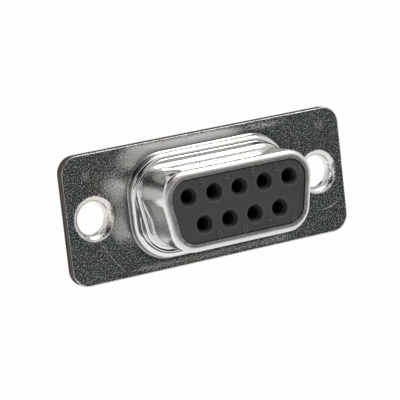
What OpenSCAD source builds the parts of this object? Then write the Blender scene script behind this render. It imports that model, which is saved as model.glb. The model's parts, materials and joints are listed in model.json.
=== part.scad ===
// Nine-way D-shaped socket connector: a drawn front shell staked to a drawn rear
// shell, two moulded insulators held between them, and nine turned contacts.
// Lengths are in millimetres. The plug mates towards -Y, the front face of the
// flange is the plane y = 0, and the row of five contacts is the upper one (+Z).
// Every sub-part is drawn lying down, with its front facing +Z, and stood up last.

/* [Flange] */
// Width of the flange
flange_w = 30.81; // [30.4:0.01:34]
// Height of the flange
flange_h = 12.55; // [12:0.01:16]
// Radius of the flange's corners
flange_corner_r = 1.7; // [0.5:0.1:2.4]
// Thickness of the front shell's sheet
front_sheet = 0.42; // [0.3:0.01:0.5]
// Thickness of the rear shell's sheet
rear_sheet = 0.42; // [0.3:0.01:0.5]
// Gap left between the two flanges
flange_gap = 0.06; // [0.02:0.01:0.15]
// Radius of the burnished edge round the front of each flange
edge_r = 0.1; // [0.04:0.01:0.14]

/* [Mounting holes] */
// Distance between the two mounting holes
hole_spacing = 24.99; // [24.7:0.01:25.3]
// Diameter of a mounting hole
hole_d = 3.12; // [2.9:0.01:3.3]
// Radius of the bell mouth that leads into a hole
bell_r = 0.74; // [0.62:0.01:0.85]
// How far the staked collar reaches over the rear shell
stake_lap = 0.4; // [0.25:0.01:0.6]
// Thickness of the staked collar
stake_t = 0.3; // [0.2:0.01:0.45]

/* [Pedestal] */
// Width of the raised step at the foot of the shroud
pedestal_w = 17.5; // [17.3:0.01:18]
// Height of the raised step
pedestal_h = 10.1; // [9.8:0.01:10.6]
// Radius of the step's corners
pedestal_corner_r = 3.9; // [3.4:0.1:4.2]
// How far the step stands out of the flange
pedestal_rise = 0.95; // [0.85:0.01:1.3]
// Radius of the hollow bend at the foot of the step
foot_bend_r = 0.2; // [0.1:0.01:0.28]
// Inside radius of the bend at the step's shoulder
shoulder_bend_r = 0.06; // [0.03:0.01:0.1]
// How far the ledge on the step lies in from the shoulder's bend
ledge_inset = 0.06; // [0.04:0.01:0.12]
// How far the ledge stands out of the step
ledge_rise = 0.1; // [0.04:0.01:0.15]

/* [Shroud] */
// Width of the shroud outside, at its longer side
shroud_w = 16.33; // [16.2:0.01:16.5]
// Height of the shroud outside
shroud_h = 7.9; // [7.8:0.01:8.1]
// Radius of the shroud's corners
shroud_corner_r = 2.6; // [2.4:0.1:2.8]
// Slant of the two short sides, which keys the plug
side_slant = 10; // [7:0.5:12]
// How far the shroud stands out of the flange
shroud_reach = 6.12; // [5.4:0.01:7]
// Radius of the hollow bend at the foot of the shroud
root_bend_r = 0.25; // [0.15:0.01:0.35]
// Inside radius of the rolled rim
rim_bend_r = 0.14; // [0.08:0.01:0.2]
// How far the rim reaches inwards from the shroud's outside
rim_lip = 0.82; // [0.75:0.01:0.95]

/* [Rear shell] */
// Width of the rear pocket outside, at its longer side
pocket_w = 19.28; // [19:0.01:19.6]
// Height of the rear pocket outside
pocket_h = 10.72; // [10.5:0.01:11]
// Radius of the pocket's corners
pocket_corner_r = 3.4; // [3:0.1:3.8]
// Depth of the connector from the rim to the back of the rear shell
overall_depth = 10.92; // [10.4:0.01:11.6]
// Inside radius of the pocket's bends
pocket_bend_r = 0.2; // [0.1:0.01:0.3]
// How far the back wall reaches inwards from the pocket's outside
back_lip = 1.7; // [1.4:0.01:1.9]

/* [Insulators] */
// How far the insulator's face lies behind the rim
face_recess = 0.07; // [0:0.01:0.3]
// Gap between the raised face and the rim's cut edge
face_gap = 0.1; // [0.05:0.01:0.2]
// Gap between the insulators and the sheet around them
sheet_clearance = 0.08; // [0.04:0.01:0.15]
// Depth of the joint between the insulators, behind the flange's front face
split_depth = 2.4; // [2:0.01:3]
// How far the rear insulator's block stands out of the rear shell
block_reach = 1.3; // [0.6:0.01:2]
// Radius of the block's back edge
block_edge_r = 0.25; // [0.1:0.01:0.4]
// Diameter of a contact hole's lead-in at the face
lead_in_d = 1.8; // [1.6:0.01:2]
// Depth of the lead-in
lead_in_depth = 0.42; // [0.3:0.01:0.5]
// Diameter of the pin hole behind the lead-in
pin_hole_d = 1.18; // [1.15:0.01:1.35]
// Thickness of the face in front of the contacts
face_wall = 1.2; // [0.9:0.01:1.6]

/* [Contacts] */
// Distance between contacts in a row
pitch = 2.77; // [2.74:0.01:2.84]
// Distance between the two rows
row_spacing = 2.84; // [2.8:0.01:2.9]
// Diameter of a contact's socket
socket_d = 1.6; // [1.5:0.01:1.7]
// Diameter of the bore that takes a pin
pin_bore_d = 1.06; // [1.04:0.01:1.12]
// Depth of the pin bore
pin_bore_depth = 5.2; // [4.6:0.1:5.6]
// Width of the slot between the two tines
slot_w = 0.24; // [0.15:0.01:0.3]
// Length of the slot
slot_l = 3.6; // [2.5:0.1:4.2]
// Diameter of the collar held between the insulators
collar_d = 2.2; // [2.05:0.01:2.3]
// Thickness of the collar
collar_t = 0.7; // [0.5:0.01:0.9]
// Diameter of the shank and its solder cup
shank_d = 1.8; // [1.7:0.01:1.9]
// Diameter of the solder cup's bore
cup_bore_d = 1.2; // [1.1:0.01:1.3]
// Depth of the solder cup's bore
cup_depth = 3.8; // [3:0.1:4.2]
// Length of the cup's bore that stays closed all round
cup_closed = 1; // [0.6:0.1:1.4]
// How far a solder cup stands out of the rear insulator
cup_reach = 4.4; // [4.3:0.1:6]
// Radial gap between a contact and the insulators
contact_gap = 0.05; // [0.03:0.01:0.08]

/* [Hidden] */
$fn = 48;

rows = [5, 4];
numbers = [for (n = [1:rows[0] + rows[1]]) n];
function contact_name(n) = str("socket_contact_", n);

// How far pieces of one sheet run into each other, so that they join as one, and
// the width of the shroud's flat foot, which joins it to the ledge.
lap = 0.2;
foot_w = 0.06;

// Round a slanted outline the walls run a little way into the corners, and are this
// much slimmer on every side, so that the two cross cleanly.
run_in = 0.05;
seam = 0.002;

// How far a cutter runs past what it cuts.
over = 1;

// Levels along the depth, the front being positive.
ledge_z = pedestal_rise + ledge_rise;
rear_flange_z = -(front_sheet + flange_gap);
rear_flange_back = rear_flange_z - rear_sheet;
stake_z = rear_flange_back - stake_t;
face_z = shroud_reach - face_recess;
nose_z = shroud_reach - front_sheet - sheet_clearance;
step_z = pedestal_rise - front_sheet - sheet_clearance;
collar_z = -front_sheet - sheet_clearance;
split_z = -split_depth;
back_z = shroud_reach - overall_depth;
back_wall_z = back_z + rear_sheet + sheet_clearance;
block_z = back_z - block_reach;
cup_end_z = block_z - cup_reach;
tip_z = face_z - face_wall - contact_gap;

// Outside radii of the bends, and the radius at which each eyelet leaves the flange.
hole_r = hole_d / 2;
mouth_r = hole_r + bell_r;
shoulder_r = shoulder_bend_r + front_sheet;
rim_r = rim_bend_r + front_sheet;
pocket_r = pocket_bend_r + rear_sheet;

// An outline is a ring of four corner centres, the upper right one first and the
// lower right one last. Set out by the corner radius, the ring is the real edge.
function box_ring(w, h, r) = let (x = w / 2 - r, y = h / 2 - r)
    [[x, y], [-x, y], [-x, -y], [x, -y]];
function d_ring(w, h, r) = let (x = w / 2 - r, y = h / 2 - r, low = x - 2 * y * tan(side_slant))
    [[x, y], [-x, y], [-low, -y], [low, -y]];

// The direction from corner i to the next one, and how far the next one turns.
function heading(ring, i) = let (way = ring[(i + 1) % 4] - ring[i % 4])
    atan2(way[1], way[0]);
function turn(ring, i) = (heading(ring, i + 1) - heading(ring, i) + 360) % 360;

function is_slanted(ring) = ring[0][0] != ring[3][0];

flange_ring = box_ring(flange_w, flange_h, flange_corner_r);
pedestal_ring = box_ring(pedestal_w, pedestal_h, pedestal_corner_r);
shroud_ring = d_ring(shroud_w, shroud_h, shroud_corner_r);
pocket_ring = d_ring(pocket_w, pocket_h, pocket_corner_r);

// Contacts 1 to 5 run along the upper row from the right, 6 to 9 along the lower.
function contact_at(n) = n <= rows[0]
    ? [((rows[0] + 1) / 2 - n) * pitch, row_spacing / 2]
    : [((rows[1] + 1) / 2 - (n - rows[0])) * pitch, -row_spacing / 2];

steel = [0.62, 0.64, 0.66];
dark_steel = [0.5, 0.52, 0.55];
plastic = [0.2, 0.2, 0.2];
dark_plastic = [0.13, 0.13, 0.13];
gilt = [0.83, 0.68, 0.35];

// Stands a sub-part up: its front turns from +Z to -Y.
module stand() {
    rotate([90, 0, 0]) children();
}

// Goes round a ring. At each corner it draws its child with $turn, the corner's
// angle, and on the way to it with $run, the wall's length. The child reaches out
// along +X, and a wall runs along -Y.
module around(ring) {
    for (i = [0:3]) {
        translate(ring[(i + 1) % 4]) rotate(heading(ring, i) - 90) {
            let ($run = norm(ring[(i + 1) % 4] - ring[i]), $turn = 0) children();
            let ($run = 0, $turn = turn(ring, i)) children();
        }
    }
}

// Sweeps a section round a ring: x is the distance out from the ring, y the depth.
module sweep(ring) {
    slanted = is_slanted(ring);
    extra = slanted ? run_in : 0;
    around(ring) {
        if ($run > 0) translate([0, extra]) rotate([90, 0, 0]) linear_extrude($run + 2 * extra)
            let ($slim = slanted ? seam : 0) children();
        else rotate_extrude(angle = $turn) let ($slim = 0) children();
    }
}

// A rectangle of a swept section, between two corners.
module strip(x1, y1, x2, y2) {
    translate([x1 + $slim, y1 + $slim]) square([x2 - x1 - 2 * $slim, y2 - y1 - 2 * $slim]);
}

// The ring's outline, set out by r.
module outline(ring, r) {
    polygon([for (corner = ring) corner + r / 2 * [sign(corner[0]), sign(corner[1])]]);
    around(ring) {
        if ($run > 0) translate([0, -$run]) square([r - (is_slanted(ring) ? seam : 0), $run]);
        else circle(r);
    }
}

// A solid plug with the ring's outline, set out by r.
module plug(ring, r, low, high) {
    translate([0, 0, low]) linear_extrude(high - low) outline(ring, r);
}

// A quarter turn of bent sheet in a section, about the point (x, y), from the bend's
// inside radius to the sheet's other face. It reaches a little into what it joins.
module bend(x, y, inside, sheet, turn) {
    translate([x, y]) rotate(turn) intersection() {
        translate([-$slim, -$slim]) square(inside + sheet + $slim);
        difference() {
            circle(inside + sheet - $slim);
            if (inside > 0) circle(inside + $slim);
        }
    }
}

module mirrored() {
    for (side = [-1, 1]) translate([side * hole_spacing / 2, 0]) children();
}

// A plug whose high edge is rounded.
module rounded_plug(ring, r, low, high, edge) {
    plug(ring, r - 2 * edge, low, high);
    sweep(ring) {
        strip(r - 3 * edge, low, r, high - edge);
        strip(r - 3 * edge, high - 2 * edge, r - edge + $slim, high);
        bend(r - edge, high - edge, 0, edge, 0);
    }
}

// Section of the step: hollow bend off the flange, wall, rounded shoulder and top,
// on which the die leaves a low ledge.
module pedestal_section() {
    r = pedestal_corner_r;
    ledge_r = r - shoulder_r - ledge_inset;
    strip(r + foot_bend_r, -front_sheet, r + foot_bend_r + 2 * lap, 0);
    bend(r + foot_bend_r, foot_bend_r, foot_bend_r, front_sheet, 180);
    strip(r - front_sheet, foot_bend_r, r, pedestal_rise - shoulder_r);
    bend(r - shoulder_r, pedestal_rise - shoulder_r, shoulder_bend_r, front_sheet, 0);
    strip(lap, pedestal_rise - front_sheet, r - shoulder_r, pedestal_rise);
    strip(lap, pedestal_rise, ledge_r - ledge_rise, ledge_z);
    bend(ledge_r - ledge_rise, pedestal_rise, 0, ledge_rise, 0);
}

// Section of the shroud: foot on the ledge, hollow bend, wall, rolled rim and cut lip.
module shroud_section() {
    r = shroud_corner_r;
    strip(r + root_bend_r - $slim, ledge_z - front_sheet, r + root_bend_r + foot_w, ledge_z);
    bend(r + root_bend_r, ledge_z + root_bend_r, root_bend_r, front_sheet, 180);
    strip(r - front_sheet, ledge_z + root_bend_r - $slim, r, shroud_reach - rim_r + $slim);
    bend(r - rim_r, shroud_reach - rim_r, rim_bend_r, front_sheet, 0);
    strip(r - rim_lip, shroud_reach - front_sheet, r - rim_r + $slim, shroud_reach);
}

// Section of an eyelet: bell mouth, tube through the rear shell and staked collar.
module eyelet_section() {
    stake_r = mouth_r + stake_lap;
    strip(mouth_r, -front_sheet, mouth_r + lap, 0);
    bend(mouth_r, -bell_r, bell_r - front_sheet, front_sheet, 90);
    strip(hole_r, stake_z, hole_r + front_sheet, -bell_r);
    strip(hole_r, stake_z, stake_r - stake_t, stake_z + stake_t);
    bend(stake_r - stake_t, stake_z + stake_t, 0, stake_t, 270);
}

// Drawn from one sheet: flange, step, D-shaped shroud and the two eyelets.
module front_shell() {
    color(steel) stand() {
        difference() {
            rounded_plug(flange_ring, flange_corner_r, -front_sheet, 0, edge_r);
            plug(pedestal_ring, pedestal_corner_r + foot_bend_r + lap, -over, over);
            mirrored() translate([0, 0, -over]) cylinder(r = mouth_r + lap / 2, h = 2 * over);
        }
        difference() {
            sweep(pedestal_ring) pedestal_section();
            plug(shroud_ring, shroud_corner_r + root_bend_r + foot_w / 2, 0, ledge_z + over);
        }
        sweep(shroud_ring) shroud_section();
        mirrored() rotate_extrude() let ($slim = 0) eyelet_section();
    }
}

// Section of the rear pocket: bend off the flange, wall, bend and back wall.
module pocket_section() {
    r = pocket_corner_r;
    top_z = rear_flange_back - pocket_bend_r;
    strip(r + pocket_bend_r - $slim, rear_flange_back, r + pocket_bend_r + 2 * lap, rear_flange_z);
    bend(r + pocket_bend_r, top_z, pocket_bend_r, rear_sheet, 90);
    strip(r - rear_sheet, back_z + pocket_r - $slim, r, top_z + $slim);
    bend(r - pocket_r, back_z + pocket_r, pocket_bend_r, rear_sheet, 270);
    strip(r - back_lip, back_z, r - pocket_r + $slim, back_z + rear_sheet);
}

// Drawn from one sheet: the rear flange and the pocket that holds the insulators.
module rear_shell() {
    color(dark_steel) stand() {
        difference() {
            rounded_plug(flange_ring, flange_corner_r, rear_flange_back, rear_flange_z, edge_r);
            plug(pocket_ring, pocket_corner_r + pocket_bend_r + lap, rear_flange_back - over, over);
            mirrored() translate([0, 0, rear_flange_back - over]) cylinder(r = mouth_r, h = 2 * over);
        }
        sweep(pocket_ring) pocket_section();
    }
}

// Raised face, nose, step that fills the pedestal and flange in the rear pocket.
module front_insulator() {
    color(plastic) stand() difference() {
        union() {
            plug(shroud_ring, shroud_corner_r - rim_lip - face_gap, step_z, face_z);
            plug(shroud_ring, shroud_corner_r - front_sheet - sheet_clearance, step_z, nose_z);
            plug(pedestal_ring, pedestal_corner_r - front_sheet - sheet_clearance, collar_z, step_z);
            plug(pocket_ring, pocket_corner_r - rear_sheet - sheet_clearance, split_z, collar_z);
        }
        for (n = numbers) translate(contact_at(n)) rotate_extrude() contact_cavity();
    }
}

// Section of the space for one contact in the front insulator.
module contact_cavity() {
    socket_z = face_z - face_wall;
    seat_z = split_z + collar_t + contact_gap;
    polygon([
        [0, split_z - over], [collar_d / 2 + contact_gap, split_z - over],
        [collar_d / 2 + contact_gap, seat_z], [socket_d / 2 + contact_gap, seat_z],
        [socket_d / 2 + contact_gap, socket_z], [pin_hole_d / 2, socket_z],
        [pin_hole_d / 2, face_z - lead_in_depth], [lead_in_d / 2, face_z],
        [lead_in_d / 2, face_z + over], [0, face_z + over],
    ]);
}

// Plate behind the front insulator, and the block that stands out of the rear shell.
module rear_insulator() {
    block_r = pocket_corner_r - back_lip - sheet_clearance;
    color(dark_plastic) stand() difference() {
        union() {
            plug(pocket_ring, pocket_corner_r - rear_sheet - sheet_clearance, back_wall_z, split_z);
            mirror([0, 0, 1])
                rounded_plug(pocket_ring, block_r, -back_wall_z - lap, -block_z, block_edge_r);
        }
        for (n = numbers) translate(contact_at(n)) translate([0, 0, block_z - over])
            cylinder(d = shank_d + 2 * contact_gap, h = split_z - block_z + 2 * over);
    }
}

// Turned profile of a contact, from the solder cup's end to the tines.
module contact_profile() {
    chamfer = 0.12;
    socket_r = socket_d / 2;
    shank_r = shank_d / 2;
    collar_r = collar_d / 2;
    polygon([
        [0, cup_end_z], [shank_r - chamfer, cup_end_z], [shank_r, cup_end_z + chamfer],
        [shank_r, split_z], [collar_r, split_z], [collar_r, split_z + collar_t],
        [socket_r, split_z + collar_t], [socket_r, tip_z - 2 * chamfer],
        [socket_r - chamfer, tip_z], [0, tip_z],
    ]);
}

// Pin bore with a flared mouth.
module pin_bore() {
    flare = 0.12;
    polygon([
        [0, tip_z - pin_bore_depth], [pin_bore_d / 2, tip_z - pin_bore_depth],
        [pin_bore_d / 2, tip_z - flare], [pin_bore_d / 2 + flare, tip_z],
        [pin_bore_d / 2 + flare, tip_z + over], [0, tip_z + over],
    ]);
}

// A turned contact: slotted socket in front, collar, and a solder cup behind that
// opens away from the other row.
module socket_contact(n) {
    at = contact_at(n);
    open_l = cup_depth - cup_closed;
    color(gilt) stand() translate(at) difference() {
        rotate_extrude() contact_profile();
        rotate_extrude() pin_bore();
        translate([0, 0, cup_end_z - over]) cylinder(d = cup_bore_d, h = cup_depth + over);
        translate([-slot_w / 2, -socket_d, tip_z - slot_l])
            cube([slot_w, 2 * socket_d, slot_l + over]);
        mirror([0, at[1] > 0 ? 0 : 1, 0]) translate([-shank_d, 0, cup_end_z - over])
            cube([2 * shank_d, shank_d, open_l + over]);
    }
}

front_shell();
rear_shell();
front_insulator();
rear_insulator();
for (n = numbers) socket_contact(n);
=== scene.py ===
"""Finish and studio of a nine-way D-shaped socket connector.

The drawn steel shells get their spangled plating, the insulators their moulded
plastic and raised contact numbers, and the turned contacts their gilt. All lengths
are in metres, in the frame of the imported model: x runs along the flange, z is up on
the side of the row of five contacts, and the plug leaves towards -y.
"""

from __future__ import annotations

import json
import logging
import math
from dataclasses import dataclass, field
from enum import Enum
from typing import Any, Mapping, Sequence

import bpy
from mathutils import Matrix, Vector

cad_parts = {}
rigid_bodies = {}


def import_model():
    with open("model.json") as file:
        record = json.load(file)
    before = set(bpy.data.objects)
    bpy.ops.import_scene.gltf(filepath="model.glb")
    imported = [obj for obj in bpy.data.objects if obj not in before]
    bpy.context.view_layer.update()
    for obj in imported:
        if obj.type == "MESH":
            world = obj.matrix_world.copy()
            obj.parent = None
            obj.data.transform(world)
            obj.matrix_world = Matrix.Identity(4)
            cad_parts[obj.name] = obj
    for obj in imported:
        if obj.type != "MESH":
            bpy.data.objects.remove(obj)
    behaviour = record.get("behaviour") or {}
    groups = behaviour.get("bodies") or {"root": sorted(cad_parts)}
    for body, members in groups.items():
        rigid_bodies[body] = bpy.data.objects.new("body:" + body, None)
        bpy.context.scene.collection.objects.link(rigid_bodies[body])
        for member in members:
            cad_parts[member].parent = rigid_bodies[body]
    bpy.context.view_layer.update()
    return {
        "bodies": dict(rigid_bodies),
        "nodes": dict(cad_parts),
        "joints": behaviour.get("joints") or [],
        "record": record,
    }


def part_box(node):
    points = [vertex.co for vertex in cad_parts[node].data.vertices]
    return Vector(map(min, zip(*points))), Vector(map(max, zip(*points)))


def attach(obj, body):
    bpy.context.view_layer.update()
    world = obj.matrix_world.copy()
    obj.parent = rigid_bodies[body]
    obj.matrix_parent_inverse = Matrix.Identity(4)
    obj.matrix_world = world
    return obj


MM = 0.001
Colour = tuple[float, float, float]

log = logging.getLogger("connector")


class Row(Enum):
    """The two rows of contacts; the value is the side of the centre they lie on."""

    UPPER = 1
    LOWER = -1


# ---------------------------------------------------------------- shader maths


class Value:
    """A number that varies over a surface, on which Python's operators work."""

    def __init__(self, shader: Shader, socket: bpy.types.NodeSocket) -> None:
        """Wraps an output socket.

        Args:
            shader: The shader that the socket's node belongs to.
            socket: The socket that gives the number.
        """
        self.shader = shader
        self.socket = socket

    def math(self, operation: str, *others: Value | float, clamp: bool = False) -> Value:
        """Adds a Math node whose first input is this value.

        Args:
            operation: The node's operation.
            others: The node's other inputs.
            clamp: True if the result is kept between 0 and 1.

        Returns:
            The node's result.
        """
        inputs = dict(enumerate((self, *others)))
        settings = {"operation": operation, "use_clamp": clamp}
        return self.shader.node("ShaderNodeMath", settings, inputs).value()

    def __add__(self, other: Value | float) -> Value:
        """Returns self + other."""
        return self.math("ADD", other)

    def __radd__(self, other: float) -> Value:
        """Returns other + self."""
        return self.math("ADD", other)

    def __sub__(self, other: Value | float) -> Value:
        """Returns self - other."""
        return self.math("SUBTRACT", other)

    def __rsub__(self, other: float) -> Value:
        """Returns other - self."""
        return self.math("MULTIPLY", -1.0).math("ADD", other)

    def __mul__(self, other: Value | float) -> Value:
        """Returns self * other."""
        return self.math("MULTIPLY", other)

    def __rmul__(self, other: float) -> Value:
        """Returns other * self."""
        return self.math("MULTIPLY", other)

    def __truediv__(self, other: Value | float) -> Value:
        """Returns self / other."""
        return self.math("DIVIDE", other)

    def __abs__(self) -> Value:
        """Returns the value without its sign."""
        return self.math("ABSOLUTE")

    def within(self, low: float, high: float) -> Value:
        """Eases from 0 to 1 as the value goes from low to high.

        Args:
            low: The value that gives 0.
            high: The value that gives 1; it may be the lower of the two.

        Returns:
            The eased value.
        """
        settings = {"interpolation_type": "SMOOTHSTEP"}
        inputs = {"Value": self, "From Min": low, "From Max": high}
        if high < low:
            inputs = {"Value": self, "From Min": high, "From Max": low}
            return 1 - self.shader.node("ShaderNodeMapRange", settings, inputs).value("Result")
        return self.shader.node("ShaderNodeMapRange", settings, inputs).value("Result")

    def ridge(self, at: float, width: float) -> Value:
        """A smooth ridge that is 1 where the value is at, and 0 from width away.

        Args:
            at: The value on the crest.
            width: Half of the ridge's width.

        Returns:
            The ridge's height.
        """
        return abs(self - at).within(width, 0.0)


@dataclass
class Placed:
    """A node that has been added to a shader."""

    shader: Shader
    node: bpy.types.Node

    def out(self, name: str | int = 0) -> bpy.types.NodeSocket:
        """Returns the output socket of that name or place."""
        return self.node.outputs[name]

    def value(self, name: str | int = 0) -> Value:
        """Returns an output as a value for maths."""
        return Value(self.shader, self.out(name))


class Shader:
    """The node tree of one material or of the world."""

    def __init__(self, tree: bpy.types.NodeTree) -> None:
        """Empties the tree.

        Args:
            tree: The node tree to build in.
        """
        self.tree = tree
        tree.nodes.clear()

    def node(
        self,
        kind: str,
        settings: Mapping[str, Any] | None = None,
        inputs: Mapping[str | int, Any] | None = None,
    ) -> Placed:
        """Adds a node.

        Args:
            kind: The node's type.
            settings: Its properties, set first; "stops" are a ramp's places and greys.
            inputs: Values, sockets or plain numbers for its inputs, by name or place.

        Returns:
            The node.
        """
        node = self.tree.nodes.new(kind)
        for name, setting in (settings or {}).items():
            if name == "stops":
                self._set_stops(node.color_ramp.elements, setting)
            else:
                setattr(node, name, setting)
        for name, given in (inputs or {}).items():
            socket = node.inputs[name]
            if isinstance(given, Value):
                given = given.socket
            if isinstance(given, bpy.types.NodeSocket):
                self.tree.links.new(given, socket)
            else:
                socket.default_value = given
        return Placed(self, node)

    @staticmethod
    def _set_stops(elements: bpy.types.ColorRampElements, stops: Sequence[tuple[float, float]]) -> None:
        """Gives a colour ramp its stops.

        Args:
            elements: The ramp's elements.
            stops: Place and grey of each stop.
        """
        while len(elements) < len(stops):
            elements.new(1.0)
        for element, (place, grey) in zip(elements, stops):
            element.position = place
            element.color = (grey, grey, grey, 1.0)

    def mix(self, factor: Value | float, low: Any, high: Any) -> bpy.types.NodeSocket:
        """Mixes two colours.

        Args:
            factor: 0 gives low and 1 gives high.
            low: A colour or a colour's socket.
            high: A colour or a colour's socket.

        Returns:
            The mixed colour's socket.
        """
        settings = {"data_type": "RGBA"}
        inputs = {"Factor": factor, 6: opaque(low), 7: opaque(high)}
        return self.node("ShaderNodeMix", settings, inputs).out(2)

    def place(self) -> bpy.types.NodeSocket:
        """Returns the socket of the point on the surface, in the object's frame."""
        return self.node("ShaderNodeTexCoord").out("Object")

    def axes(self, place: bpy.types.NodeSocket) -> tuple[Value, Value, Value]:
        """Returns the x, y and z of a point."""
        split = self.node("ShaderNodeSeparateXYZ", inputs={0: place})
        return split.value(0), split.value(1), split.value(2)

    def noise(self, place: bpy.types.NodeSocket, grain: float, detail: float = 2.0, **more: float) -> Value:
        """Adds a noise texture.

        Args:
            place: The point's socket.
            grain: Size of the pattern's lumps.
            detail: How many finer layers it has.
            more: Other inputs of the node.

        Returns:
            The noise, about 0 to 1.
        """
        inputs = {"Vector": place, "Scale": 1 / grain, "Detail": detail, **more}
        return self.node("ShaderNodeTexNoise", inputs=inputs).value("Fac")

    def bump(self, height: Value, distance: float, normal: Any = None) -> bpy.types.NodeSocket:
        """Adds relief to the surface.

        Args:
            height: The relief's height, from 0 to 1.
            distance: The height that 1 stands for.
            normal: The socket of the relief that this one lies on.

        Returns:
            The normal's socket.
        """
        inputs = {"Height": height, "Distance": distance}
        if normal is not None:
            inputs["Normal"] = normal
        return self.node("ShaderNodeBump", inputs=inputs).out("Normal")

    def surface(self, kind: str, inputs: Mapping[str | int, Any]) -> None:
        """Adds a surface shader and links it to the output.

        Args:
            kind: The shader node's type.
            inputs: Values, sockets or numbers for its inputs.
        """
        shader = self.node(kind, inputs=inputs)
        self.node("ShaderNodeOutputMaterial", inputs={"Surface": shader.out()})


def opaque(colour: Any) -> Any:
    """Returns a colour with its alpha, and anything else as it is."""
    return (*colour, 1.0) if isinstance(colour, tuple) and len(colour) == 3 else colour


def new_material(name: str) -> tuple[bpy.types.Material, Shader]:
    """Returns a new material and the shader of its empty tree."""
    material = bpy.data.materials.new(name)
    material.use_nodes = True
    return material, Shader(material.node_tree)


# ------------------------------------------------------------------- finishes


@dataclass(frozen=True)
class DrawnShape:
    """Where the front shell's features lie on the flange, for its tool marks and for the painted shade round
    the step's foot.
    """

    half_w: float = 15.405 * MM
    half_h: float = 6.275 * MM
    corner_r: float = 1.7 * MM
    hole_x: float = 12.495 * MM
    mouth_r: float = 2.3 * MM
    step_half_w: float = 8.75 * MM
    step_half_h: float = 5.05 * MM
    step_corner_r: float = 3.9 * MM
    # How far the painted shade reaches out on the flange from the step's foot.
    foot: float = 0.9 * MM
    rim_y: float = -5.95 * MM


@dataclass(frozen=True)
class Mark:
    """A satin patch that a press tool left on the flange: its centre and half-axes."""

    x: float
    z: float
    half_w: float
    half_h: float
    strength: float


@dataclass(frozen=True)
class Scratch:
    """A fine arc scratched into the flange: centre, radius, the ends' heights, its side."""

    x: float
    z: float
    radius: float
    low: float
    high: float
    side: int


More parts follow.
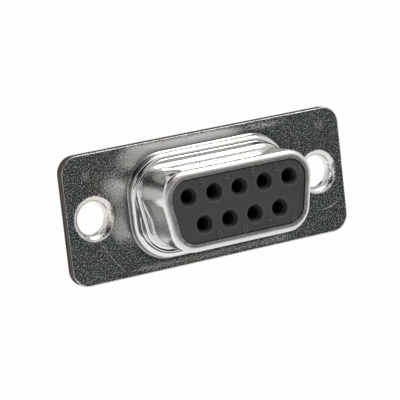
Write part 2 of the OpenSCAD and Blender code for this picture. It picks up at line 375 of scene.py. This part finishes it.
@dataclass(frozen=True)
class PlatedSteel:
    """Bright zinc plating on drawn steel sheet, with the sheet's spangle and painted shade round the foot of
    the drawn step.
    """

    name: str
    colour: Colour = (0.80, 0.81, 0.80)
    stain: Colour = (0.78, 0.74, 0.68)
    cut: Colour = (0.10, 0.08, 0.07)
    # Near black painted shade, laid on the flange round the foot of the step, where the hollow bend shows
    # dark.
    dirt: Colour = (0.05, 0.05, 0.05)
    roughness: float = 0.10
    satin: float = 0.42
    speck: float = 0.32
    spangle: float = 0.24 * MM
    spangle_depth: float = 0.014 * MM
    grain: float = 0.12 * MM
    grain_depth: float = 0.009 * MM
    wave: float = 4.5 * MM
    wave_depth: float = 0.02 * MM
    dish: float = 1.3 * MM
    dish_depth: float = 0.13 * MM
    lip_satin: float = 0.9
    scratch_w: float = 0.05 * MM
    scratch_depth: float = 0.006 * MM
    marks: tuple[Mark, ...] = ()
    scratches: tuple[Scratch, ...] = ()

    def make(self, shape: DrawnShape) -> bpy.types.Material:
        """Builds the material.

        Args:
            shape: Where the drawn features lie.

        Returns:
            The material.
        """
        material, shader = new_material(self.name)
        place = shader.place()
        x, y, z = shader.axes(place)
        spangle = shader.noise(place, self.spangle, 3.0, Roughness=0.6, Distortion=0.6)
        grain = shader.noise(place, self.grain, 2.0)
        wave = shader.noise(place, self.wave, 1.0)
        from_step = self._outside(shape.step_half_w, shape.step_half_h, shape.step_corner_r, x, z)
        from_edge = self._outside(shape.half_w, shape.half_h, shape.corner_r, x, z)
        flat = from_step.within(0.0, 0.3 * MM)
        lip = y.within(shape.rim_y + 0.15 * MM, shape.rim_y)
        normal = shader.bump(wave, self.wave_depth)
        normal = shader.bump(self._dish(shape, x, z), self.dish_depth, normal)
        normal = shader.bump(spangle * (0.2 + 0.8 * flat), self.spangle_depth, normal)
        normal = shader.bump(grain * (0.2 + 0.8 * flat), self.grain_depth, normal)
        for scratch in self.scratches:
            normal = shader.bump(self._line(scratch, x, z), self.scratch_depth, normal)
        cut = from_edge.within(-0.07 * MM, -0.01 * MM)
        satin = cut.math("MAXIMUM", lip * self.lip_satin * (0.2 + spangle))
        for mark in self.marks:
            satin = satin.math("MAXIMUM", self._mark(mark, x, z) * (0.4 + spangle))
        roughness = self.roughness + self.satin * satin + self.speck * grain.within(0.52, 0.62) * flat
        # Painted shade: a band on the flange that is darkest at the step's foot and fades out shape.foot away
        # from it.
        foot = from_step.within(-0.05 * MM, 0.0) * from_step.within(shape.foot, 0.0)
        stained = shader.mix(wave.within(0.45, 0.75), self.colour, self.stain)
        foot_shaded = shader.mix(foot * 0.55, stained, self.dirt)
        shader.surface(
            "ShaderNodeBsdfPrincipled",
            {
                "Base Color": shader.mix(cut, foot_shaded, self.cut),
                "Metallic": 1.0,
                "Roughness": roughness,
                "Normal": normal,
            },
        )
        return material

    def _dish(self, shape: DrawnShape, x: Value, z: Value) -> Value:
        """Height of the shallow dish that the draw leaves above and below the step.

        Args:
            shape: Where the step lies.
            x: The point's x.
            z: The point's z.

        Returns:
            The height, from 0 at the step to 1 on the flat.
        """
        away = abs(z) - shape.step_half_h
        beside = abs(x).within(shape.step_half_w + 2.0 * MM, shape.step_half_w - 1.0 * MM)
        return away.within(0.0, self.dish) * beside

    def _mark(self, mark: Mark, x: Value, z: Value) -> Value:
        """Strength of a satin patch at a point.

        Args:
            mark: The patch.
            x: The point's x.
            z: The point's z.

        Returns:
            The patch's strength in its middle, easing to 0 at its edge.
        """
        across, rise = (x - mark.x) / mark.half_w, (z - mark.z) / mark.half_h
        return (across * across + rise * rise).within(1.0, 0.1) * mark.strength

    def _outside(self, half_w: float, half_h: float, corner_r: float, x: Value, z: Value) -> Value:
        """Distance of a point from a rounded rectangle about the centre.

        Args:
            half_w: Half of the rectangle's width.
            half_h: Half of its height.
            corner_r: Radius of its corners.
            x: The point's x.
            z: The point's z.

        Returns:
            The distance, below 0 inside.
        """
        side = abs(x) - (half_w - corner_r)
        rise = abs(z) - (half_h - corner_r)
        out_x, out_z = side.math("MAXIMUM", 0.0), rise.math("MAXIMUM", 0.0)
        inside = side.math("MAXIMUM", rise).math("MINIMUM", 0.0)
        return (out_x * out_x + out_z * out_z).math("SQRT") + inside - corner_r

    def _line(self, scratch: Scratch, x: Value, z: Value) -> Value:
        """Depth of a scratch at a point.

        Args:
            scratch: The scratch.
            x: The point's x.
            z: The point's z.

        Returns:
            The depth, from 0 beside it to 1 in its middle.
        """
        from_x, from_z = x - scratch.x, z - scratch.z
        away = (from_x * from_x + from_z * from_z).math("SQRT")
        line = away.ridge(scratch.radius, self.scratch_w)
        between = z.within(scratch.low, scratch.low + 0.4 * MM)
        beside = (from_x * scratch.side).within(0.0, 0.1 * MM)
        return line * between * beside * z.within(scratch.high, scratch.high - 0.4 * MM)


@dataclass(frozen=True)
class MouldedPlastic:
    """Matte thermoplastic with a fine eroded texture from its mould, and painted shade in the bores it is
    given.
    """

    name: str
    colour: Colour
    worn: Colour
    # Near black painted shade inside the bores.
    bore: Colour = (0.012, 0.012, 0.012)
    ring: Colour = (0.080, 0.080, 0.078)
    roughness: float = 0.55
    grain: float = 0.12 * MM
    grain_depth: float = 0.004 * MM
    bore_r: float = 0.90 * MM
    ring_r: float = 0.99 * MM
    ring_w: float = 0.09 * MM

    def make(self, bores: Sequence[tuple[float, float]] = ()) -> bpy.types.Material:
        """Builds the material.

        Args:
            bores: The x and z of the bores, which get near black painted shade inside a paler ring.

        Returns:
            The material.
        """
        material, shader = new_material(self.name)
        place = shader.place()
        grain = shader.noise(place, self.grain, 3.0)
        cloud = shader.noise(place, 12 * self.grain, 2.0)
        colour = shader.mix(cloud.within(0.35, 0.75), self.colour, self.worn)
        if bores:
            x, _, z = shader.axes(place)
            away = self._away(bores, x, z)
            colour = shader.mix(away.ridge(self.ring_r, self.ring_w) * 0.7, colour, self.ring)
            # Painted shade: near black inside each bore, easing out towards the bore's edge.
            colour = shader.mix(away.within(self.bore_r, self.bore_r - 0.12 * MM), colour, self.bore)
        shader.surface(
            "ShaderNodeBsdfPrincipled",
            {
                "Base Color": colour,
                "Roughness": self.roughness + 0.12 * grain,
                "Specular IOR Level": 0.35,
                "Normal": shader.bump(grain, self.grain_depth),
            },
        )
        return material

    def _away(self, bores: Sequence[tuple[float, float]], x: Value, z: Value) -> Value:
        """Distance of a point from the axis of the nearest bore.

        Args:
            bores: The x and z of the bores.
            x: The point's x.
            z: The point's z.

        Returns:
            The distance.
        """
        nearest = x * 0 + 1
        for bore_x, bore_z in bores:
            from_x, from_z = x - bore_x, z - bore_z
            nearest = nearest.math("MINIMUM", from_x * from_x + from_z * from_z)
        return nearest.math("SQRT")


@dataclass(frozen=True)
class Gilt:
    """Thin gold over a turned copper alloy, with the tool's fine rings."""

    name: str
    colour: Colour = (0.83, 0.62, 0.27)
    dull: Colour = (0.62, 0.46, 0.22)
    shade: Colour = (0.03, 0.024, 0.016)
    shade_y: tuple[float, float] = (-1.0 * MM, -3.4 * MM)
    roughness: float = 0.22
    ring: float = 0.14 * MM
    ring_depth: float = 0.002 * MM

    def make(self) -> bpy.types.Material:
        """Builds and returns the material."""
        material, shader = new_material(self.name)
        place = shader.place()
        _, y, _ = shader.axes(place)
        rings = (y * (2 * math.pi / self.ring)).math("SINE")
        cloud = shader.noise(place, 1.2 * MM, 2.0)
        shader.surface(
            "ShaderNodeBsdfPrincipled",
            {
                "Base Color": shader.mix(
                    y.within(*self.shade_y), shader.mix(cloud, self.colour, self.dull), self.shade
                ),
                "Metallic": 1.0,
                "Roughness": self.roughness + 0.12 * cloud,
                "Normal": shader.bump(rings, self.ring_depth),
            },
        )
        return material


# --------------------------------------------------------------- sub-assemblies


def dress(node: bpy.types.Object, material: bpy.types.Material) -> None:
    """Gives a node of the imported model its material."""
    for slot in node.material_slots:
        slot.material = material
    log.info("%s: %s", node.name, material.name)


@dataclass
class Shells:
    """The two drawn steel shells."""

    shape: DrawnShape = field(default_factory=DrawnShape)
    front: PlatedSteel = PlatedSteel(
        "bright_plating",
        marks=(
            Mark(-10.0 * MM, -1.3 * MM, 1.1 * MM, 1.8 * MM, 0.55),
            Mark(-9.8 * MM, 1.9 * MM, 0.9 * MM, 1.2 * MM, 0.4),
            Mark(-7.2 * MM, 5.3 * MM, 2.4 * MM, 0.9 * MM, 0.7),
            Mark(-12.9 * MM, 4.2 * MM, 0.6 * MM, 0.7 * MM, 0.35),
            Mark(13.2 * MM, 4.6 * MM, 0.6 * MM, 0.6 * MM, 0.35),
        ),
        scratches=(
            Scratch(2.6 * MM, 5.5 * MM, 16.7 * MM, -5.8 * MM, -1.7 * MM, -1),
            Scratch(-1.0 * MM, -1.5 * MM, 12.4 * MM, 2.4 * MM, 6.1 * MM, 1),
            Scratch(12.6 * MM, -0.4 * MM, 3.4 * MM, -4.2 * MM, -3.0 * MM, 1),
        ),
    )
    rear: PlatedSteel = PlatedSteel(
        "dull_plating", colour=(0.60, 0.58, 0.55), roughness=0.24, dish_depth=0.0
    )

    def build(self, nodes: Mapping[str, bpy.types.Object]) -> None:
        """Dresses both shells.

        Args:
            nodes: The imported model's nodes by name.
        """
        dress(nodes["front_shell"], self.front.make(self.shape))
        dress(nodes["rear_shell"], self.rear.make(self.shape))


@dataclass
class Insulators:
    """The two moulded insulators and the numbers raised on the face."""

    face: MouldedPlastic = MouldedPlastic(
        "grey_moulding", (0.050, 0.050, 0.048), (0.056, 0.056, 0.054)
    )
    # Painted highlight: the numbers are a lighter copy of the face's plastic, standing in for the light
    # caught by their relief.
    raised: MouldedPlastic = MouldedPlastic(
        "raised_moulding_painted_highlight", (0.090, 0.086, 0.080), (0.110, 0.105, 0.098)
    )
    back: MouldedPlastic = MouldedPlastic(
        "black_moulding", (0.022, 0.022, 0.021), (0.030, 0.030, 0.029)
    )
    number_height: float = 0.82 * MM
    number_width: float = 0.54 * MM
    number_rise: float = 0.05 * MM
    bevel: float = 0.012 * MM

    def build(self, nodes: Mapping[str, bpy.types.Object], contacts: Contacts) -> None:
        """Dresses the insulators and raises the numbers.

        Args:
            nodes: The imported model's nodes by name.
            contacts: The contacts, which the numbers stand beside.
        """
        bores = [contacts.place(number) for number in contacts.numbers]
        dress(nodes["front_insulator"], self.face.make(bores))
        raised = self.raised.make()
        dress(nodes["rear_insulator"], self.back.make())
        face_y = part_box("front_insulator")[0][1]
        for number in contacts.numbers:
            x, z = contacts.place(number)
            off_x, off_z = contacts.number_offset(number)
            self._raise_number(number, Vector((x + off_x, face_y, z + off_z)), raised)

    def _raise_number(self, number: int, place: Vector, raised: bpy.types.Material) -> None:
        """Makes one raised number on the face.

        Args:
            number: The contact's number.
            place: The number's centre, on the face.
            raised: The number's material, a lighter copy of the face's plastic as painted highlight.
        """
        bpy.ops.object.select_all(action="DESELECT")
        bpy.ops.object.text_add()
        letter = bpy.context.object
        letter.data.body = str(number)
        letter.data.extrude = 0.5
        letter.data.resolution_u = 6
        bpy.ops.object.convert(target="MESH")
        mark = bpy.context.object
        mark.name = f"number_{number}"
        mark.data.name = mark.name
        low, high = mesh_box(mark)
        middle = (low + high) / 2
        scale = Vector(
            (
                self.number_width / max(high.x - low.x, 0.8 * (high.y - low.y) * 0.66),
                self.number_height / (high.y - low.y),
                2 * self.number_rise / (high.z - low.z),
            )
        )
        upright = Matrix.Rotation(math.radians(90), 4, "X")
        mark.data.transform(
            Matrix.Translation(place) @ upright @ Matrix.Diagonal((*scale, 1.0)) @ Matrix.Translation(-middle)
        )
        bpy.ops.object.mode_set(mode="EDIT")
        bpy.ops.mesh.select_all(action="SELECT")
        bpy.ops.mesh.remove_doubles(threshold=0.001 * MM)
        bpy.ops.mesh.normals_make_consistent(inside=False)
        bpy.ops.object.mode_set(mode="OBJECT")
        edge = mark.modifiers.new("edge", "BEVEL")
        edge.width = self.bevel
        edge.segments = 2
        edge.limit_method = "ANGLE"
        bpy.ops.object.modifier_apply(modifier=edge.name)
        bpy.ops.object.shade_smooth_by_angle(angle=math.radians(35))
        mark.data.materials.append(raised)
        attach(mark, "root")
        log.info("%s: raised by %.3f mm", mark.name, self.number_rise / MM)


def mesh_box(piece: bpy.types.Object) -> tuple[Vector, Vector]:
    """Returns the lowest and highest corner of a piece's mesh."""
    points = [vertex.co for vertex in piece.data.vertices]
    low = Vector(min(point[axis] for point in points) for axis in range(3))
    high = Vector(max(point[axis] for point in points) for axis in range(3))
    return low, high


@dataclass
class Contacts:
    """The nine turned contacts, in a row of five above a row of four."""

    upper: int = 5
    count: int = 9
    finish: Gilt = Gilt("gilt")
    pitch: float = 2.77 * MM
    spacing: float = 2.84 * MM

    @property
    def numbers(self) -> range:
        """The contacts' numbers."""
        return range(1, self.count + 1)

    def row(self, number: int) -> Row:
        """Returns the row that a contact lies in."""
        return Row.UPPER if number <= self.upper else Row.LOWER

    def place(self, number: int) -> tuple[float, float]:
        """Returns the x and z of a contact's axis."""
        row = self.row(number)
        across = number if row is Row.UPPER else number - self.upper
        ways = self.upper if row is Row.UPPER else self.count - self.upper
        return ((ways + 1) / 2 - across) * self.pitch, row.value * self.spacing / 2

    def number_offset(self, number: int) -> tuple[float, float]:
        """Returns how far a contact's number lies to its right and above it."""
        if number == 1:
            return 1.27 * MM, 0.48 * MM
        if self.row(number) is Row.UPPER:
            return 1.47 * MM, 1.15 * MM
        return 1.47 * MM, -1.24 * MM

    def build(self, nodes: Mapping[str, bpy.types.Object]) -> None:
        """Dresses the contacts.

        Args:
            nodes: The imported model's nodes by name.
        """
        gilt = self.finish.make()
        for number in self.numbers:
            dress(nodes[f"socket_contact_{number}"], gilt)


# --------------------------------------------------------------------- studio


@dataclass(frozen=True)
class Flag:
    """A card that only reflections see.

    Azimuth is from -y towards +x and elevation is above the level, in degrees, both
    as seen from the object.
    """

    name: str
    azimuth: float
    elevation: float
    width: float
    height: float
    colour: Colour
    soft: float = 0.12
    distance: float = 0.16


@dataclass(frozen=True)
class Softbox:
    """A square area lamp that faces the object, placed as a flag is."""

    name: str
    azimuth: float
    elevation: float
    distance: float
    size: float
    watts: float


def towards(azimuth: float, elevation: float) -> Vector:
    """Returns the direction from the object, azimuth from -y towards +x."""
    turn, rise = math.radians(azimuth), math.radians(elevation)
    return Vector((math.sin(turn) * math.cos(rise), -math.cos(turn) * math.cos(rise), math.sin(rise)))


@dataclass
class Studio:
    """Floor, background, lamps and cards."""

    floor_drop: float = 0.11
    floor_size: float = 6.0
    fill: float = 0.80
    flags: tuple[Flag, ...] = (
        Flag("front_card", 22.0, -10.0, 0.24, 0.086, (0.036, 0.041, 0.043), 0.14, 0.14),
        Flag("wall_card", -29.0, -17.0, 0.11, 0.070, (0.20, 0.20, 0.195)),
        Flag("cream_card", 32.0, 11.0, 0.09, 0.040, (0.50, 0.49, 0.45), 0.3, 0.15),
        Flag("high_card", -36.0, 36.0, 0.28, 0.140, (0.018, 0.019, 0.018)),
        Flag("overhead_card", -113.0, 67.0, 0.13, 0.12, (0.020, 0.020, 0.020)),
        Flag("back_card", 142.0, 36.0, 0.20, 0.060, (0.016, 0.017, 0.017)),
        Flag("arc_card", -57.0, 27.0, 0.040, 0.050, (1.1, 1.1, 1.1), 0.3, 0.14),
    )
    lamps: tuple[Softbox, ...] = (Softbox("key_lamp", 62.0, 60.0, 0.35, 0.16, 0.8),)

    def build(self) -> None:
        """Builds the floor, the background, the cards and the lamps."""
        self._floor()
        self._background()
        for flag in self.flags:
            self._card(flag)
        for lamp in self.lamps:
            self._lamp(lamp)

    def _floor(self) -> None:
        """Adds the pale floor, which reflections and the view see as white."""
        bpy.ops.object.select_all(action="DESELECT")
        bpy.ops.mesh.primitive_plane_add(size=self.floor_size, location=(0, 0, -self.floor_drop))
        floor = bpy.context.object
        floor.name = "floor"
        material, shader = new_material("pale_floor")
        path = shader.node("ShaderNodeLightPath")
        seen = path.value("Is Camera Ray") + path.value("Is Glossy Ray")
        seen = (seen + path.value("Is Transmission Ray")).math("MINIMUM", 1.0)
        matte = shader.node("ShaderNodeBsdfDiffuse", inputs={"Color": (0.9, 0.9, 0.9, 1.0)})
        white = shader.node("ShaderNodeEmission", inputs={"Strength": 1.0})
        shader.surface("ShaderNodeMixShader", {0: seen * 0.96, 1: matte.out(), 2: white.out()})
        floor.data.materials.append(material)

    def _background(self) -> None:
        """Makes the background white to the view and to reflections, and grey as light."""
        world = bpy.data.worlds.new("studio")
        world.use_nodes = True
        bpy.context.scene.world = world
        shader = Shader(world.node_tree)
        path = shader.node("ShaderNodeLightPath")
        seen = path.value("Is Camera Ray") + path.value("Is Glossy Ray")
        seen = (seen + path.value("Is Transmission Ray")).math("MINIMUM", 1.0)
        strength = self.fill + (1 - self.fill) * seen
        light = shader.node("ShaderNodeBackground", inputs={"Strength": strength})
        shader.node("ShaderNodeOutputWorld", inputs={"Surface": light.out()})

    def _card(self, flag: Flag) -> None:
        """Hangs a card that only reflections see, with soft edges.

        Args:
            flag: The card.
        """
        way = towards(flag.azimuth, flag.elevation)
        bpy.ops.object.select_all(action="DESELECT")
        bpy.ops.mesh.primitive_plane_add(size=1.0)
        card = bpy.context.object
        card.name = flag.name
        card.location = way * flag.distance
        card.rotation_euler = way.to_track_quat("Z", "Y").to_euler()
        card.scale = (flag.width, flag.height, 1.0)
        material, shader = new_material(flag.name)
        x, y, _ = shader.axes(shader.place())
        inside = abs(x).within(0.5, 0.5 - flag.soft) * abs(y).within(0.5, 0.5 - flag.soft)
        clear = shader.node("ShaderNodeBsdfTransparent")
        grey = shader.node("ShaderNodeEmission", inputs={"Color": opaque(flag.colour)})
        shader.surface("ShaderNodeMixShader", {0: inside, 1: clear.out(), 2: grey.out()})
        card.data.materials.append(material)
        card.visible_camera = False
        card.visible_diffuse = False
        card.visible_transmission = False
        card.visible_shadow = False

    def _lamp(self, lamp: Softbox) -> None:
        """Adds a square area lamp that faces the object.

        Args:
            lamp: The lamp.
        """
        way = towards(lamp.azimuth, lamp.elevation)
        light = bpy.data.lights.new(lamp.name, "AREA")
        light.energy = lamp.watts
        light.size = lamp.size
        box = bpy.data.objects.new(lamp.name, light)
        box.location = way * lamp.distance
        box.rotation_euler = way.to_track_quat("Z", "Y").to_euler()
        bpy.context.collection.objects.link(box)


@dataclass(frozen=True)
class Viewpoint:
    """The camera: where it stands, how it is turned and how it frames the object."""

    azimuth: float = -28.993
    elevation: float = 10.245
    roll: float = -6.392
    distance: float = 0.24
    lens: float = 224.14
    sensor: float = 36.0
    shift_x: float = -0.02267
    shift_y: float = -0.01241

    def build(self) -> None:
        """Adds the camera."""
        back = towards(self.azimuth, self.elevation)
        right = Vector((0, 0, 1)).cross(back).normalized()
        up = back.cross(right)
        turn = Matrix.Rotation(math.radians(self.roll), 4, "Z")
        frame = Matrix((right, up, back)).transposed().to_4x4() @ turn
        data = bpy.data.cameras.new("camera")
        data.lens = self.lens
        data.sensor_width = self.sensor
        data.shift_x = self.shift_x
        data.shift_y = self.shift_y
        data.clip_start = 0.01
        camera = bpy.data.objects.new("camera", data)
        camera.matrix_world = Matrix.Translation(back * self.distance) @ frame
        bpy.context.collection.objects.link(camera)
        bpy.context.scene.camera = camera


def main() -> None:
    """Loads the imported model, dresses it and builds the studio round it."""
    logging.basicConfig(level=logging.INFO, format="%(name)s: %(message)s")
    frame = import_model()
    bpy.ops.object.select_all(action="DESELECT")
    bpy.context.scene.view_settings.view_transform = "Standard"
    contacts = Contacts()
    Shells().build(frame["nodes"])
    Insulators().build(frame["nodes"], contacts)
    contacts.build(frame["nodes"])
    Studio().build()
    Viewpoint().build()


if __name__ == "__main__":
    main()
